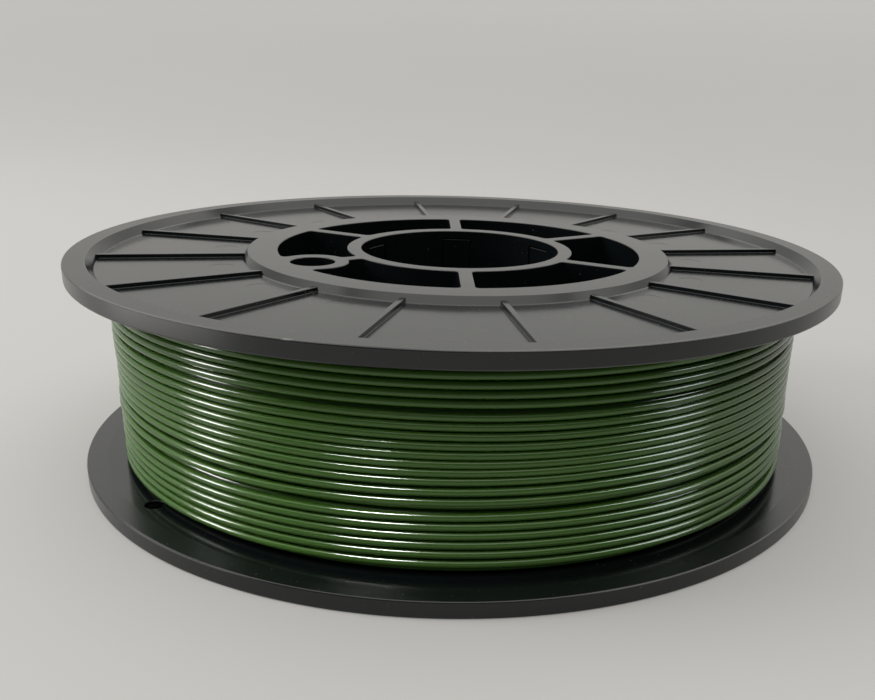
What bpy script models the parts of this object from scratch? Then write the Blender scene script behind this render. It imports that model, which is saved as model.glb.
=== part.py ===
"""Filament spool for a 3D printer, lying on one flange.

Two moulded flanges snap onto a moulded hub core, and one long plastic strand is wound between them.
Units are metres. The spool's axis is Z, and the origin is the centre of its underside.
"""

import math

import bmesh
import bpy
from mathutils import Matrix, Vector

# Whole spool
FLANGE_RADIUS = 0.100
SPOOL_WIDTH = 0.0554
CLEARANCE = 0.0003
ROUND_STEPS = 96

# Flange moulding, seen from its outer face, which is at height 0; depths go inwards
FLANGE_THICKNESS = 0.0040
RIM_WIDTH = 0.0052
RIM_CHAMFER = 0.0005
PAN_DEPTH = 0.0024
RIM_SLOPE = 0.0018
RIB_COUNT = 16
RIB_WIDTH = 0.0015
RIB_HEIGHT = 0.0010

# Hub frame that is moulded in one with each flange
HUB_TOP_DEPTH = 0.0005
HUB_FRAME_DEPTH = 0.0140
RING_INNER_RADIUS = 0.0486
RING_OUTER_RADIUS = 0.0563
RING_SLOPE = 0.0013
SPIGOT_OUTER_RADIUS = 0.0510
BORE_RADIUS = 0.0267
COLLAR_OUTER_RADIUS = 0.0305
SPOKE_COUNT = 6
SPOKE_WIDTH = 0.0034

# Round boss on one spoke, for the winding machine's drive pin
BOSS_ANGLE = math.radians(212.4)
BOSS_CENTRE_RADIUS = 0.0434
BOSS_OUTER_RADIUS = 0.0090
BOSS_HOLE_RADIUS = 0.0055

# Hub core and its snap fingers
BARREL_WALL = 0.0027
GROOVE_DEPTH = FLANGE_THICKNESS - PAN_DEPTH
CORE_RIB_WIDTH = 0.0030
FINGER_WIDTH = 0.0082
FINGER_THICKNESS = 0.0013
FINGER_TIP_DEPTH = 0.0030
BARB_REACH = 0.0008
BARB_HEIGHT = 0.0023

# Wound strand
STRAND_DIAMETER = 0.00175
WINDING_RADIUS = 0.0903
WINDING_CORNER = 0.0008

# Holes in the lower flange for the strand's ends, and the outer end's way down through one of them
END_HOLE_RADIUS = 0.0022
END_HOLE_CENTRE_RADIUS = 0.0908
END_HOLE_OFFSET = math.radians(7.1)
TAIL_RADIUS = 0.0916
TAIL_SWEEP = math.radians(38)
TAIL_START_HEIGHT = 0.0150
TAIL_END_HEIGHT = 0.0012
TAIL_POINTS = 36
# Its arch: the share of its way after which it stands above its hole, and how sharply it slows and falls
TAIL_TURN_SHARE = 0.8
TAIL_TURN_EASE = 1.6
TAIL_DROP_EASE = 2.6

# Values that follow
BARREL_INNER_RADIUS = SPIGOT_OUTER_RADIUS + CLEARANCE
BARREL_OUTER_RADIUS = BARREL_INNER_RADIUS + BARREL_WALL
GROOVE_OUTER_RADIUS = BARREL_OUTER_RADIUS + CLEARANCE
CORE_BORE_RADIUS = BORE_RADIUS + CLEARANCE / 2
SPOKE_ANGLES = [math.tau * i / SPOKE_COUNT for i in range(SPOKE_COUNT)]
RIB_ANGLES = [math.tau * i / RIB_COUNT for i in range(RIB_COUNT)]
OVERLAP = 0.0010
CUT_MARGIN = 0.0020


def clear_scene():
    for obj in list(bpy.data.objects):
        bpy.data.objects.remove(obj)


def new_collection(name):
    collection = bpy.data.collections.new(name)
    bpy.context.scene.collection.children.link(collection)
    return collection


def plastic(name, colour, roughness):
    material = bpy.data.materials.new(name)
    material.use_nodes = True
    shader = material.node_tree.nodes["Principled BSDF"]
    shader.inputs["Base Color"].default_value = (*colour, 1.0)
    shader.inputs["Roughness"].default_value = roughness
    shader.inputs["Metallic"].default_value = 0.0
    return material


def add_object(name, mesh, collection):
    obj = bpy.data.objects.new(name, mesh)
    collection.objects.link(obj)
    if collection is helpers:
        obj.hide_render = True
        obj.display_type = "WIRE"
    return obj


def turned(name, profile, collection):
    """A closed (radius, height) outline turned about Z. It runs down its outer side."""
    mesh = bpy.data.meshes.new(name)
    corners = [(radius, 0.0, height) for radius, height in profile]
    edges = [(i, (i + 1) % len(corners)) for i in range(len(corners))]
    mesh.from_pydata(corners, edges, [])
    obj = add_object(name, mesh, collection)
    screw = obj.modifiers.new("Turn", "SCREW")
    screw.steps = ROUND_STEPS
    screw.render_steps = ROUND_STEPS
    screw.use_merge_vertices = True
    screw.merge_threshold = 1e-5
    return obj


def tube(name, inner, outer, top, bottom, collection):
    profile = [(outer, top), (outer, bottom), (inner, bottom), (inner, top)]
    return turned(name, profile, collection)


def helper_from(shape, name, top, bottom):
    """A helper object whose ends lie at exactly these heights, so that flush faces meet cleanly."""
    middle = (top + bottom) / 2
    for corner in shape.verts:
        corner.co.z = top if corner.co.z > middle else bottom
    mesh = bpy.data.meshes.new(name)
    shape.to_mesh(mesh)
    shape.free()
    return add_object(name, mesh, helpers)


def radial_bars(name, start, end, width, top, bottom, angles):
    """Separate bars in one mesh, each lying along a radius from start to end."""
    shape = bmesh.new()
    size = Vector((end - start, width, top - bottom))
    centre = Vector(((start + end) / 2, 0.0, (top + bottom) / 2))
    for angle in angles:
        place = Matrix.Rotation(angle, 4, "Z") @ Matrix.Translation(centre) @ Matrix.Diagonal((*size, 1.0))
        bmesh.ops.create_cube(shape, size=1.0, matrix=place)
    return helper_from(shape, name, top, bottom)


def post(name, radius, top, bottom, centre_radius, angle, steps=48):
    """An upright cylinder centred at a distance from the axis."""
    shape = bmesh.new()
    centre = Vector((centre_radius, 0.0, (top + bottom) / 2))
    place = Matrix.Rotation(angle, 4, "Z") @ Matrix.Translation(centre)
    bmesh.ops.create_cone(
        shape, cap_ends=True, segments=steps, radius1=radius, radius2=radius, depth=top - bottom, matrix=place
    )
    return helper_from(shape, name, top, bottom)


def combine(obj, operation, tool):
    boolean = obj.modifiers.new(tool.name, "BOOLEAN")
    boolean.operation = operation
    boolean.solver = "EXACT"
    boolean.object = tool


def shaped_mesh(obj, name):
    """The mesh that an object's modifiers make, with its modifiers left behind."""
    graph = bpy.context.evaluated_depsgraph_get()
    mesh = bpy.data.meshes.new_from_object(obj.evaluated_get(graph))
    mesh.name = name
    return mesh


def finish(obj, material):
    mesh = obj.data
    mesh.materials.clear()
    mesh.materials.append(material)
    mesh.shade_smooth()
    mesh.set_sharp_from_angle(angle=math.radians(30))


def flange_outline():
    """Rim, web, raised hub ring with the barrel's groove under it, and spigot."""
    rim_inner = FLANGE_RADIUS - RIM_WIDTH
    groove_top = -FLANGE_THICKNESS + GROOVE_DEPTH
    return [
        (FLANGE_RADIUS - RIM_CHAMFER, 0.0),
        (FLANGE_RADIUS, -RIM_CHAMFER),
        (FLANGE_RADIUS, -FLANGE_THICKNESS + RIM_CHAMFER),
        (FLANGE_RADIUS - RIM_CHAMFER, -FLANGE_THICKNESS),
        (GROOVE_OUTER_RADIUS, -FLANGE_THICKNESS),
        (GROOVE_OUTER_RADIUS, groove_top),
        (SPIGOT_OUTER_RADIUS, groove_top),
        (SPIGOT_OUTER_RADIUS, -HUB_FRAME_DEPTH),
        (RING_INNER_RADIUS, -HUB_FRAME_DEPTH),
        (RING_INNER_RADIUS, -HUB_TOP_DEPTH),
        (RING_OUTER_RADIUS, -HUB_TOP_DEPTH),
        (RING_OUTER_RADIUS + RING_SLOPE, -PAN_DEPTH),
        (rim_inner - RIM_SLOPE, -PAN_DEPTH),
        (rim_inner, 0.0),
    ]


def finger_outline(inner, thickness, barb, tip, barb_height, root):
    """A finger that hooks outwards below its tip."""
    return [
        (inner + thickness + barb, tip),
        (inner + thickness + barb, tip - barb_height),
        (inner + thickness, tip - barb_height - barb),
        (inner + thickness, root),
        (inner, root),
        (inner, tip),
    ]


def flange_moulding():
    """One flange with its outer face at height 0 and its boss on +X."""
    flange = turned("flange_disc", flange_outline(), helpers)
    spokes = radial_bars(
        "flange_spokes",
        COLLAR_OUTER_RADIUS - OVERLAP,
        RING_INNER_RADIUS + OVERLAP,
        SPOKE_WIDTH,
        -HUB_TOP_DEPTH,
        -HUB_FRAME_DEPTH,
        SPOKE_ANGLES,
    )
    collar = tube(
        "flange_collar", BORE_RADIUS, COLLAR_OUTER_RADIUS, -HUB_TOP_DEPTH, -HUB_FRAME_DEPTH, helpers
    )
    boss = post(
        "flange_boss", BOSS_OUTER_RADIUS, -HUB_TOP_DEPTH, -HUB_FRAME_DEPTH, BOSS_CENTRE_RADIUS, 0.0
    )
    boss_limit = post(
        "flange_boss_limit",
        RING_INNER_RADIUS + OVERLAP,
        CUT_MARGIN,
        -HUB_FRAME_DEPTH - CUT_MARGIN,
        0.0,
        0.0,
        ROUND_STEPS,
    )
    combine(boss, "INTERSECT", boss_limit)
    ribs = radial_bars(
        "flange_ribs",
        RING_OUTER_RADIUS - OVERLAP,
        FLANGE_RADIUS - RIM_WIDTH + OVERLAP,
        RIB_WIDTH,
        -PAN_DEPTH + RIB_HEIGHT,
        -PAN_DEPTH - OVERLAP,
        RIB_ANGLES,
    )
    pin_hole = post(
        "flange_pin_hole", BOSS_HOLE_RADIUS, CUT_MARGIN, -HUB_FRAME_DEPTH - CUT_MARGIN, BOSS_CENTRE_RADIUS, 0.0
    )
    combine(flange, "UNION", spokes)
    combine(flange, "UNION", collar)
    combine(flange, "UNION", boss)
    combine(flange, "UNION", ribs)
    combine(flange, "DIFFERENCE", pin_hole)
    combine(flange, "DIFFERENCE", finger_slots())
    return shaped_mesh(flange, "flange")


def finger_slots():
    """Slots in the collar's bore that take the core's fingers, open at the inner end."""
    slots = turned(
        "finger_slots",
        finger_outline(
            BORE_RADIUS - OVERLAP,
            FINGER_THICKNESS + OVERLAP + 3 * CLEARANCE,
            BARB_REACH,
            -FINGER_TIP_DEPTH + CLEARANCE,
            BARB_HEIGHT + CLEARANCE,
            -HUB_FRAME_DEPTH - CUT_MARGIN,
        ),
        helpers,
    )
    sectors = radial_bars(
        "finger_slot_sectors",
        BORE_RADIUS - 3 * OVERLAP,
        COLLAR_OUTER_RADIUS + OVERLAP,
        FINGER_WIDTH + 2 * CLEARANCE,
        CUT_MARGIN,
        -HUB_FRAME_DEPTH - 2 * CUT_MARGIN,
        SPOKE_ANGLES,
    )
    combine(slots, "INTERSECT", sectors)
    return slots


def fingers(name, up):
    """The core's six fingers at one end, in the spool's own heights."""
    tip = SPOOL_WIDTH / 2 - FINGER_TIP_DEPTH
    root = SPOOL_WIDTH / 2 - HUB_FRAME_DEPTH - CLEARANCE - OVERLAP
    inner = CORE_BORE_RADIUS + CLEARANCE / 2
    outline = finger_outline(inner, FINGER_THICKNESS, BARB_REACH, tip, BARB_HEIGHT, root)
    if not up:
        outline = [(radius, -height) for radius, height in reversed(outline)]
    ring = turned(name, outline, helpers)
    reach = SPOOL_WIDTH / 2
    sectors = radial_bars(
        name + "_sectors",
        BORE_RADIUS - 2 * OVERLAP,
        COLLAR_OUTER_RADIUS + OVERLAP,
        FINGER_WIDTH,
        reach if up else 0.0,
        0.0 if up else -reach,
        SPOKE_ANGLES,
    )
    combine(ring, "INTERSECT", sectors)
    return ring


def hub_core_mesh():
    """Barrel, bore tube, ribs, pin tube and snap fingers, centred on the spool's middle."""
    barrel_half = SPOOL_WIDTH / 2 - FLANGE_THICKNESS + GROOVE_DEPTH - CLEARANCE
    frame_half = SPOOL_WIDTH / 2 - HUB_FRAME_DEPTH - CLEARANCE
    core = tube("core_barrel", BARREL_INNER_RADIUS, BARREL_OUTER_RADIUS, barrel_half, -barrel_half, helpers)
    ribs = radial_bars(
        "core_ribs",
        COLLAR_OUTER_RADIUS - OVERLAP,
        BARREL_INNER_RADIUS + OVERLAP,
        CORE_RIB_WIDTH,
        frame_half,
        -frame_half,
        SPOKE_ANGLES,
    )
    bore_tube = tube("core_bore", CORE_BORE_RADIUS, COLLAR_OUTER_RADIUS, frame_half, -frame_half, helpers)
    boss = post("core_boss", BOSS_OUTER_RADIUS, frame_half, -frame_half, BOSS_CENTRE_RADIUS, 0.0)
    boss_limit = post(
        "core_boss_limit", BARREL_INNER_RADIUS + OVERLAP, SPOOL_WIDTH, -SPOOL_WIDTH, 0.0, 0.0, ROUND_STEPS
    )
    combine(boss, "INTERSECT", boss_limit)
    pin_hole = post("core_pin_hole", BOSS_HOLE_RADIUS, SPOOL_WIDTH, -SPOOL_WIDTH, BOSS_CENTRE_RADIUS, 0.0)
    upper_fingers = fingers("core_fingers_top", True)
    lower_fingers = fingers("core_fingers_bottom", False)
    for piece in (ribs, bore_tube, boss, upper_fingers, lower_fingers):
        combine(core, "UNION", piece)
    combine(core, "DIFFERENCE", pin_hole)
    return shaped_mesh(core, "hub_core")


def make_flanges(material):
    mesh = flange_moulding()
    turn = Matrix.Rotation(BOSS_ANGLE, 4, "Z")
    upper = add_object("upper_flange", mesh, parts)
    upper.matrix_world = Matrix.Translation((0.0, 0.0, SPOOL_WIDTH)) @ turn
    finish(upper, material)
    lower = add_object("lower_flange", mesh.copy(), parts)
    lower.matrix_world = turn @ Matrix.Rotation(math.pi, 4, "X")
    for name, angle in (("front_end_hole", END_HOLE_OFFSET), ("rear_end_hole", END_HOLE_OFFSET + math.pi)):
        top = FLANGE_THICKNESS + CUT_MARGIN
        hole = post(name, END_HOLE_RADIUS, top, 0.0, END_HOLE_CENTRE_RADIUS, BOSS_ANGLE + angle, 24)
        combine(lower, "DIFFERENCE", hole)
    finish(lower, material)


def make_hub_core(material):
    core = add_object("hub_core", hub_core_mesh(), parts)
    core.matrix_world = Matrix.Translation((0.0, 0.0, SPOOL_WIDTH / 2)) @ Matrix.Rotation(BOSS_ANGLE, 4, "Z")
    finish(core, material)


def make_winding(material):
    """The whole wound strand as one solid ring between the flanges."""
    inner = BARREL_OUTER_RADIUS + CLEARANCE
    low = FLANGE_THICKNESS + CLEARANCE
    high = SPOOL_WIDTH - low
    outline = [
        (WINDING_RADIUS - WINDING_CORNER, high),
        (WINDING_RADIUS, high - WINDING_CORNER),
        (WINDING_RADIUS, low + WINDING_CORNER),
        (WINDING_RADIUS - WINDING_CORNER, low),
        (inner, low),
        (inner, high),
    ]
    finish(turned("wound_filament", outline, parts), material)


def tail_point(share):
    """A point on the outer end's way, from lying on the winding to standing in its hole."""
    hole_angle = BOSS_ANGLE + math.pi + END_HOLE_OFFSET
    along = 1.0 - (1.0 - min(share / TAIL_TURN_SHARE, 1.0)) ** TAIL_TURN_EASE
    angle = hole_angle + TAIL_SWEEP * (1.0 - along)
    drop = share ** TAIL_DROP_EASE
    height = TAIL_START_HEIGHT + (TAIL_END_HEIGHT - TAIL_START_HEIGHT) * drop
    return TAIL_RADIUS * math.cos(angle), TAIL_RADIUS * math.sin(angle), height


def make_filament_end(material):
    curve = bpy.data.curves.new("filament_end", "CURVE")
    curve.dimensions = "3D"
    curve.bevel_depth = STRAND_DIAMETER / 2
    curve.bevel_resolution = 2
    curve.use_fill_caps = True
    spline = curve.splines.new("POLY")
    spline.points.add(TAIL_POINTS - 1)
    for i, point in enumerate(spline.points):
        point.co = (*tail_point(i / (TAIL_POINTS - 1)), 1.0)
    spline.use_smooth = True
    curve.materials.append(material)
    add_object("filament_end", curve, parts)


clear_scene()
parts = new_collection("filament_spool")
helpers = new_collection("helpers")
helpers.hide_render = True

black_plastic = plastic("black_plastic", (0.013, 0.014, 0.015), 0.38)
green_filament = plastic("green_filament", (0.022, 0.062, 0.012), 0.22)

make_flanges(black_plastic)
make_hub_core(black_plastic)
make_winding(green_filament)
make_filament_end(green_filament)
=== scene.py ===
"""Looks of the filament spool: fine mouldings and one long wound strand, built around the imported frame.

Units are metres, in the part's own frame: the spool's axis is Z, and its underside is at height 0.
Azimuths are measured from +X anticlockwise, so the side that faces the camera is at -90 degrees.
"""

import math
import random

import bmesh
import bpy
from mathutils import Matrix, Vector


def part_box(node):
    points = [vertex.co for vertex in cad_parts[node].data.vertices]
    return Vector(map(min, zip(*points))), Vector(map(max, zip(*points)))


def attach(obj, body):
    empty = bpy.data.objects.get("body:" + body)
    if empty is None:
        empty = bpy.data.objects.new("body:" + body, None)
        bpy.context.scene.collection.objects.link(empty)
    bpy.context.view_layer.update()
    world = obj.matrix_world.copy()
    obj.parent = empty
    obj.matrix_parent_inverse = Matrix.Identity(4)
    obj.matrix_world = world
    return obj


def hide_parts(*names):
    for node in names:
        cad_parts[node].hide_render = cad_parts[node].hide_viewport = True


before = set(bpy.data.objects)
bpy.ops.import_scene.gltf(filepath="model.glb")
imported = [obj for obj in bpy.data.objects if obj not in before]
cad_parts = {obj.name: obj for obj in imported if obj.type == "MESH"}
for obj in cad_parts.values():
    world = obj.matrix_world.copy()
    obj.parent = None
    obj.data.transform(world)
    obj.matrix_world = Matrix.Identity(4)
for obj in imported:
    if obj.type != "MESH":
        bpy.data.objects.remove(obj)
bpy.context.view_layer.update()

MM = 0.001

# Whole spool, from the frame
UPPER_LOW, UPPER_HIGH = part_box("upper_flange")
LOWER_LOW, LOWER_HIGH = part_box("lower_flange")
SPOOL_WIDTH = UPPER_HIGH.z - LOWER_LOW.z
FLANGE_RADIUS = 0.100
CLEARANCE = 0.3 * MM

# Flange moulding, seen from its outer face, which is at height 0; depths go inwards
FLANGE_THICKNESS = 4.0 * MM
RIM_WIDTH = 5.2 * MM
PAN_DEPTH = 2.4 * MM
RIB_COUNT = 16
RIB_WIDTH = 1.5 * MM
RIB_HEIGHT = 1.0 * MM
RIB_DRAFT = 0.04 * MM
RIB_TOP_ROUND = 0.16 * MM
RIB_FOOT_ROUND = 0.12 * MM
RIB_ROOT_DEPTH = 0.6 * MM
RING_SLOPE = 1.3 * MM
RIM_SLOPE = 1.8 * MM
EDGE_ROUND = 0.25 * MM
PAN_ROUND = 0.5 * MM
RIM_EDGE_ROUND = 0.45 * MM
INNER_EDGE_ROUND = 0.5 * MM
GROOVE_EDGE_ROUND = 0.15 * MM
BORE_EDGE_ROUND = 0.3 * MM

# Hub frame that is moulded in one with each flange
HUB_TOP_DEPTH = 0.5 * MM
HUB_FRAME_DEPTH = 14.0 * MM
RING_INNER_RADIUS = 48.6 * MM
RING_OUTER_RADIUS = 56.3 * MM
SPIGOT_OUTER_RADIUS = 51.0 * MM
BORE_RADIUS = 26.7 * MM
COLLAR_OUTER_RADIUS = 30.5 * MM
SPOKE_COUNT = 6
SPOKE_WIDTH = 3.4 * MM
POCKET_CORNER = 1.2 * MM

# Round boss on one spoke, with the hole for the winding machine's drive pin
BOSS_ANGLE = math.radians(212.4)
BOSS_CENTRE_RADIUS = 43.4 * MM
BOSS_OUTER_RADIUS = 9.0 * MM
BOSS_HOLE_RADIUS = 5.5 * MM

# Round marks that the mould's ejector pins leave between the ribs
EJECTOR_RADIUS = 3.0 * MM
EJECTOR_CENTRE_RADIUS = 63.5 * MM
EJECTOR_DEPTH = 0.03 * MM
EJECTOR_EDGE_ROUND = 0.02 * MM

# Hub core and its snap fingers
BARREL_INNER_RADIUS = SPIGOT_OUTER_RADIUS + CLEARANCE
BARREL_OUTER_RADIUS = BARREL_INNER_RADIUS + 2.7 * MM
GROOVE_OUTER_RADIUS = BARREL_OUTER_RADIUS + CLEARANCE
GROOVE_DEPTH = FLANGE_THICKNESS - PAN_DEPTH
CORE_BORE_RADIUS = BORE_RADIUS + CLEARANCE / 2
CORE_RIB_WIDTH = 3.0 * MM
CORE_EDGE_ROUND = 0.4 * MM
CORE_POCKET_INSET = 0.4 * MM
FINGER_WIDTH = 8.2 * MM
FINGER_THICKNESS = 1.3 * MM
FINGER_TIP_DEPTH = 3.0 * MM
BARB_REACH = 0.8 * MM
BARB_HEIGHT = 2.3 * MM
FINGER_TIP_ROUND = 0.3 * MM
SLOT_EDGE_ROUND = 0.15 * MM

# Holes in the lower flange for the strand's ends
END_HOLE_RADIUS = 2.2 * MM
END_HOLE_CENTRE_RADIUS = 90.8 * MM
END_HOLE_OFFSET = math.radians(7.1)

# Wound strand: the layer below climbs clockwise, and the outer layer comes down clockwise
STRAND_DIAMETER = 1.75 * MM
STRAND_SIDES = 14
STEPS_PER_TURN = 144
UNDER_RADIUS = 87.9 * MM
UNDER_TURNS = 22.5
UNDER_LEAD_IN = 0.5
UNDER_LOWEST = FLANGE_THICKNESS + 0.62 * STRAND_DIAMETER
OUTER_LOWEST = 6.4 * MM
OUTER_TURNS = 20.5
# Spacing of the outer turns from the lowest one up: (how many turns, height of each step)
OUTER_BANDS = (
    (5, 2.15 * MM),
    (1, 3.30 * MM),
    (2, 2.30 * MM),
    (7, 1.95 * MM),
    (1, 2.70 * MM),
    (5, 2.00 * MM),
)
# A stretch of the second turn that has slipped down into the layer below
SUNK_TURNS = (1.10, 1.52)
SUNK_DEPTH = 1.3 * MM
SINK_WITHIN_TURNS = 0.05
# The outer layer climbs onto the one below within this part of a turn, and starts to sway over these turns
CLIMB_WITHIN_TURNS = 0.08
SWAY_GROWS_OVER_TURNS = 1.5
# Pitch of the part turn under the lowest whole one, as a share of the pitch above it
LAST_PITCH_SHARE = 0.6
HEIGHT_WOBBLE = 0.13 * MM
RADIUS_WOBBLE = 0.06 * MM
HEIGHT_WAVES = 6
RADIUS_WAVES = 9
WAVE_DECAY = 0.25
WAVE_DRIFT = 0.9
FRONT = math.radians(-90)

# Outer end of the strand: it leaves the lowest turn, passes over its neighbours and stands in its hole
TAIL_RADIUS = 91.6 * MM
TAIL_LEAVES_AT = -0.264
TAIL_SWEEP = math.radians(38)
TAIL_START_HEIGHT = 15.0 * MM
TAIL_END_HEIGHT = 1.2 * MM
TAIL_LIFT_RATE = 3.0
# Its arch: the share of its way after which it stands above its hole, and how sharply it slows and falls
TAIL_TURN_SHARE = 0.8
TAIL_TURN_EASE = 1.6
TAIL_DROP_EASE = 2.6

# Deeper layers: how far their turns lie under the modelled strand's, in strand diameters, and the angles
# of the points on the outside of each turn
INNER_NESTING = 0.86
INNER_TURN_ANGLES = (72, 48, 24, 0, -24, -48, -72)

# How finely round shapes are made
TURN_STEPS = 240
INNER_TURN_STEPS = 144
HOLE_STEPS = 64
END_HOLE_STEPS = 40
EJECTOR_STEPS = 32
FINGER_STEPS = 12
EDGE_STEPS = 5
HIDDEN_EDGE_STEPS = 3
CORNER_STEPS = 6
BOSS_STEPS = 14
POCKET_OUTER_STEPS = 30
POCKET_INNER_STEPS = 24
TAIL_STEPS = 40
FLARE_ANGLES = (0, 30, 55, 80)
RIB_FOOT_ANGLES = (8, 30, 55, 80)
RIB_TOP_ANGLES = (0, 30, 60, 90)

SEED = 7

SPOKE_ANGLES = [math.tau * i / SPOKE_COUNT for i in range(SPOKE_COUNT)]
RIB_ANGLES = [math.tau * i / RIB_COUNT for i in range(RIB_COUNT)]
OVERLAP = 1.0 * MM
CUT_MARGIN = 2.0 * MM
MERGE_DISTANCE = 0.001 * MM
MOULDING_SHARP_ANGLE = math.radians(34)
STRAND_SHARP_ANGLE = math.radians(50)


# ---------------------------------------------------------------- mesh helpers

def object_from(shape, name):
    """A scene object from a bmesh, with its faces pointing out."""
    bmesh.ops.recalc_face_normals(shape, faces=shape.faces)
    mesh = bpy.data.meshes.new(name)
    shape.to_mesh(mesh)
    shape.free()
    obj = bpy.data.objects.new(name, mesh)
    bpy.context.scene.collection.objects.link(obj)
    return obj


def rounded(corners, segments=EDGE_STEPS):
    """The closed outline through corners (x, y, radius), each rounded to its radius."""
    outline = []
    for i, (x, y, radius) in enumerate(corners):
        here = Vector((x, y))
        if radius == 0.0:
            outline.append((x, y))
            continue
        before = (Vector(corners[i - 1][:2]) - here).normalized()
        after = (Vector(corners[(i + 1) % len(corners)][:2]) - here).normalized()
        half = before.angle(after) / 2
        centre = here + (before + after).normalized() * radius / math.sin(half)
        start = here + before * radius / math.tan(half) - centre
        end = here + after * radius / math.tan(half) - centre
        turn = math.atan2(start.x, start.y) - math.atan2(end.x, end.y)
        turn = (turn + math.pi) % math.tau - math.pi
        for step in range(segments + 1):
            angle = turn * step / segments
            c, s = math.cos(angle), math.sin(angle)
            outline.append((centre.x + c * start.x - s * start.y, centre.y + s * start.x + c * start.y))
    return outline


def add_turned(shape, outline, start=0.0, sweep=math.tau, steps=TURN_STEPS):
    """Adds a closed (radius, height) outline turned about Z, whole or through a sweep with flat ends."""
    whole = sweep >= math.tau
    rings = []
    for i in range(steps if whole else steps + 1):
        angle = start + sweep * i / steps
        c, s = math.cos(angle), math.sin(angle)
        rings.append([shape.verts.new((radius * c, radius * s, height)) for radius, height in outline])
    for i in range(steps):
        here, there = rings[i], rings[(i + 1) % len(rings)]
        for j in range(len(outline)):
            k = (j + 1) % len(outline)
            shape.faces.new((here[j], here[k], there[k], there[j]))
    if not whole:
        shape.faces.new(rings[0])
        shape.faces.new(rings[-1])


def add_loft(shape, levels):
    """Adds a closed body through outlines of equally many (x, y, z) points."""
    rings = [[shape.verts.new(point) for point in level] for level in levels]
    for here, there in zip(rings, rings[1:]):
        for j in range(len(here)):
            k = (j + 1) % len(here)
            shape.faces.new((here[j], here[k], there[k], there[j]))
    shape.faces.new(rings[0])
    shape.faces.new(rings[-1])


def combine(obj, operation, tool):
    """Joins or cuts obj with tool for good, merges doubled corners, and removes tool."""
    boolean = obj.modifiers.new("shape", "BOOLEAN")
    boolean.operation = operation
    boolean.solver = "EXACT"
    boolean.object = tool
    graph = bpy.context.evaluated_depsgraph_get()
    made = bpy.data.meshes.new_from_object(obj.evaluated_get(graph))
    clean = bmesh.new()
    clean.from_mesh(made)
    bmesh.ops.remove_doubles(clean, verts=clean.verts, dist=MERGE_DISTANCE)
    bmesh.ops.dissolve_degenerate(clean, edges=clean.edges, dist=MERGE_DISTANCE)
    clean.to_mesh(made)
    clean.free()
    old = obj.data
    obj.modifiers.clear()
    obj.data = made
    bpy.data.meshes.remove(old)
    bpy.data.objects.remove(tool)


def together(name, pieces):
    """A collection of the pieces, for lamps that shine on nothing else."""
    group = bpy.data.collections.new(name)
    for piece in pieces:
        group.objects.link(piece)
    return group


def finish_moulding(obj, material, cad_nodes):
    """Final shading, material and place in the table of a moulded piece."""
    mesh = obj.data
    mesh.materials.clear()
    mesh.materials.append(material)
    mesh.shade_smooth()
    mesh.set_sharp_from_angle(angle=MOULDING_SHARP_ANGLE)
    weighted = obj.modifiers.new("flat faces stay flat", "WEIGHTED_NORMAL")
    weighted.keep_sharp = True
    weighted.weight = 80
    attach(obj, "root")
    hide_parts(*cad_nodes)


# ---------------------------------------------------------------- pockets and holes of the hub

def arc(centre, radius, start, end, count):
    """Points on a circle from one angle to another."""
    return [
        (
            centre[0] + radius * math.cos(start + (end - start) * i / count),
            centre[1] + radius * math.sin(start + (end - start) * i / count),
        )
        for i in range(count + 1)
    ]


def pocket_side(grow, ring, spoke_width, boss):
    """A pocket's side along the spoke that lies on +X, from the collar to the ring, with rounded corners.

    grow moves the outline outwards into the plastic. Returns the points, and the angles at both ends.
    """
    half = spoke_width / 2 - grow
    corner = POCKET_CORNER + grow
    outer = ring + grow
    inner = COLLAR_OUTER_RADIUS - grow
    offset = half + corner
    near = math.sqrt((inner + corner) ** 2 - offset**2)
    start = math.atan2(offset, near)
    points = arc((near, offset), corner, start + math.pi, 1.5 * math.pi, CORNER_STEPS)
    if not boss:
        far = math.sqrt((outer - corner) ** 2 - offset**2)
        end = math.atan2(offset, far)
        return points + arc((far, offset), corner, -0.5 * math.pi, end, CORNER_STEPS), start, end
    reach = BOSS_OUTER_RADIUS - grow + corner
    lean = math.asin(offset / reach)
    beside = BOSS_CENTRE_RADIUS - reach * math.cos(lean)
    points += arc((beside, offset), corner, -0.5 * math.pi, -lean, CORNER_STEPS)
    rim = outer - corner
    end = math.acos((rim**2 + BOSS_CENTRE_RADIUS**2 - reach**2) / (2 * BOSS_CENTRE_RADIUS * rim))
    last = (rim * math.cos(end), rim * math.sin(end))
    towards = math.atan2(last[1], last[0] - BOSS_CENTRE_RADIUS)
    points += arc((BOSS_CENTRE_RADIUS, 0.0), reach - corner, math.pi - lean, towards, BOSS_STEPS)
    points += arc(last, corner, towards - math.pi, end, CORNER_STEPS)
    return points, start, end


def pocket_outline(index, grow, ring, spoke_width):
    """The outline of the pocket between spoke number index and the next one, anticlockwise."""
    axis = (0.0, 0.0)
    step = math.tau / SPOKE_COUNT
    here, start, end = pocket_side(grow, ring, spoke_width, index == 0)
    there, start_there, end_there = pocket_side(grow, ring, spoke_width, index == SPOKE_COUNT - 1)
    c, s = math.cos(step), math.sin(step)
    mirrored = [(x * c + y * s, x * s - y * c) for x, y in there]
    outer_side = arc(axis, ring + grow, end, step - end_there, POCKET_OUTER_STEPS)
    inner_side = arc(axis, COLLAR_OUTER_RADIUS - grow, step - start_there, start, POCKET_INNER_STEPS)
    outline = here + outer_side[1:-1] + mirrored[::-1] + inner_side[1:-1]
    turn = index * step
    c, s = math.cos(turn), math.sin(turn)
    return [(c * x - s * y, s * x + c * y) for x, y in outline]


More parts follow.
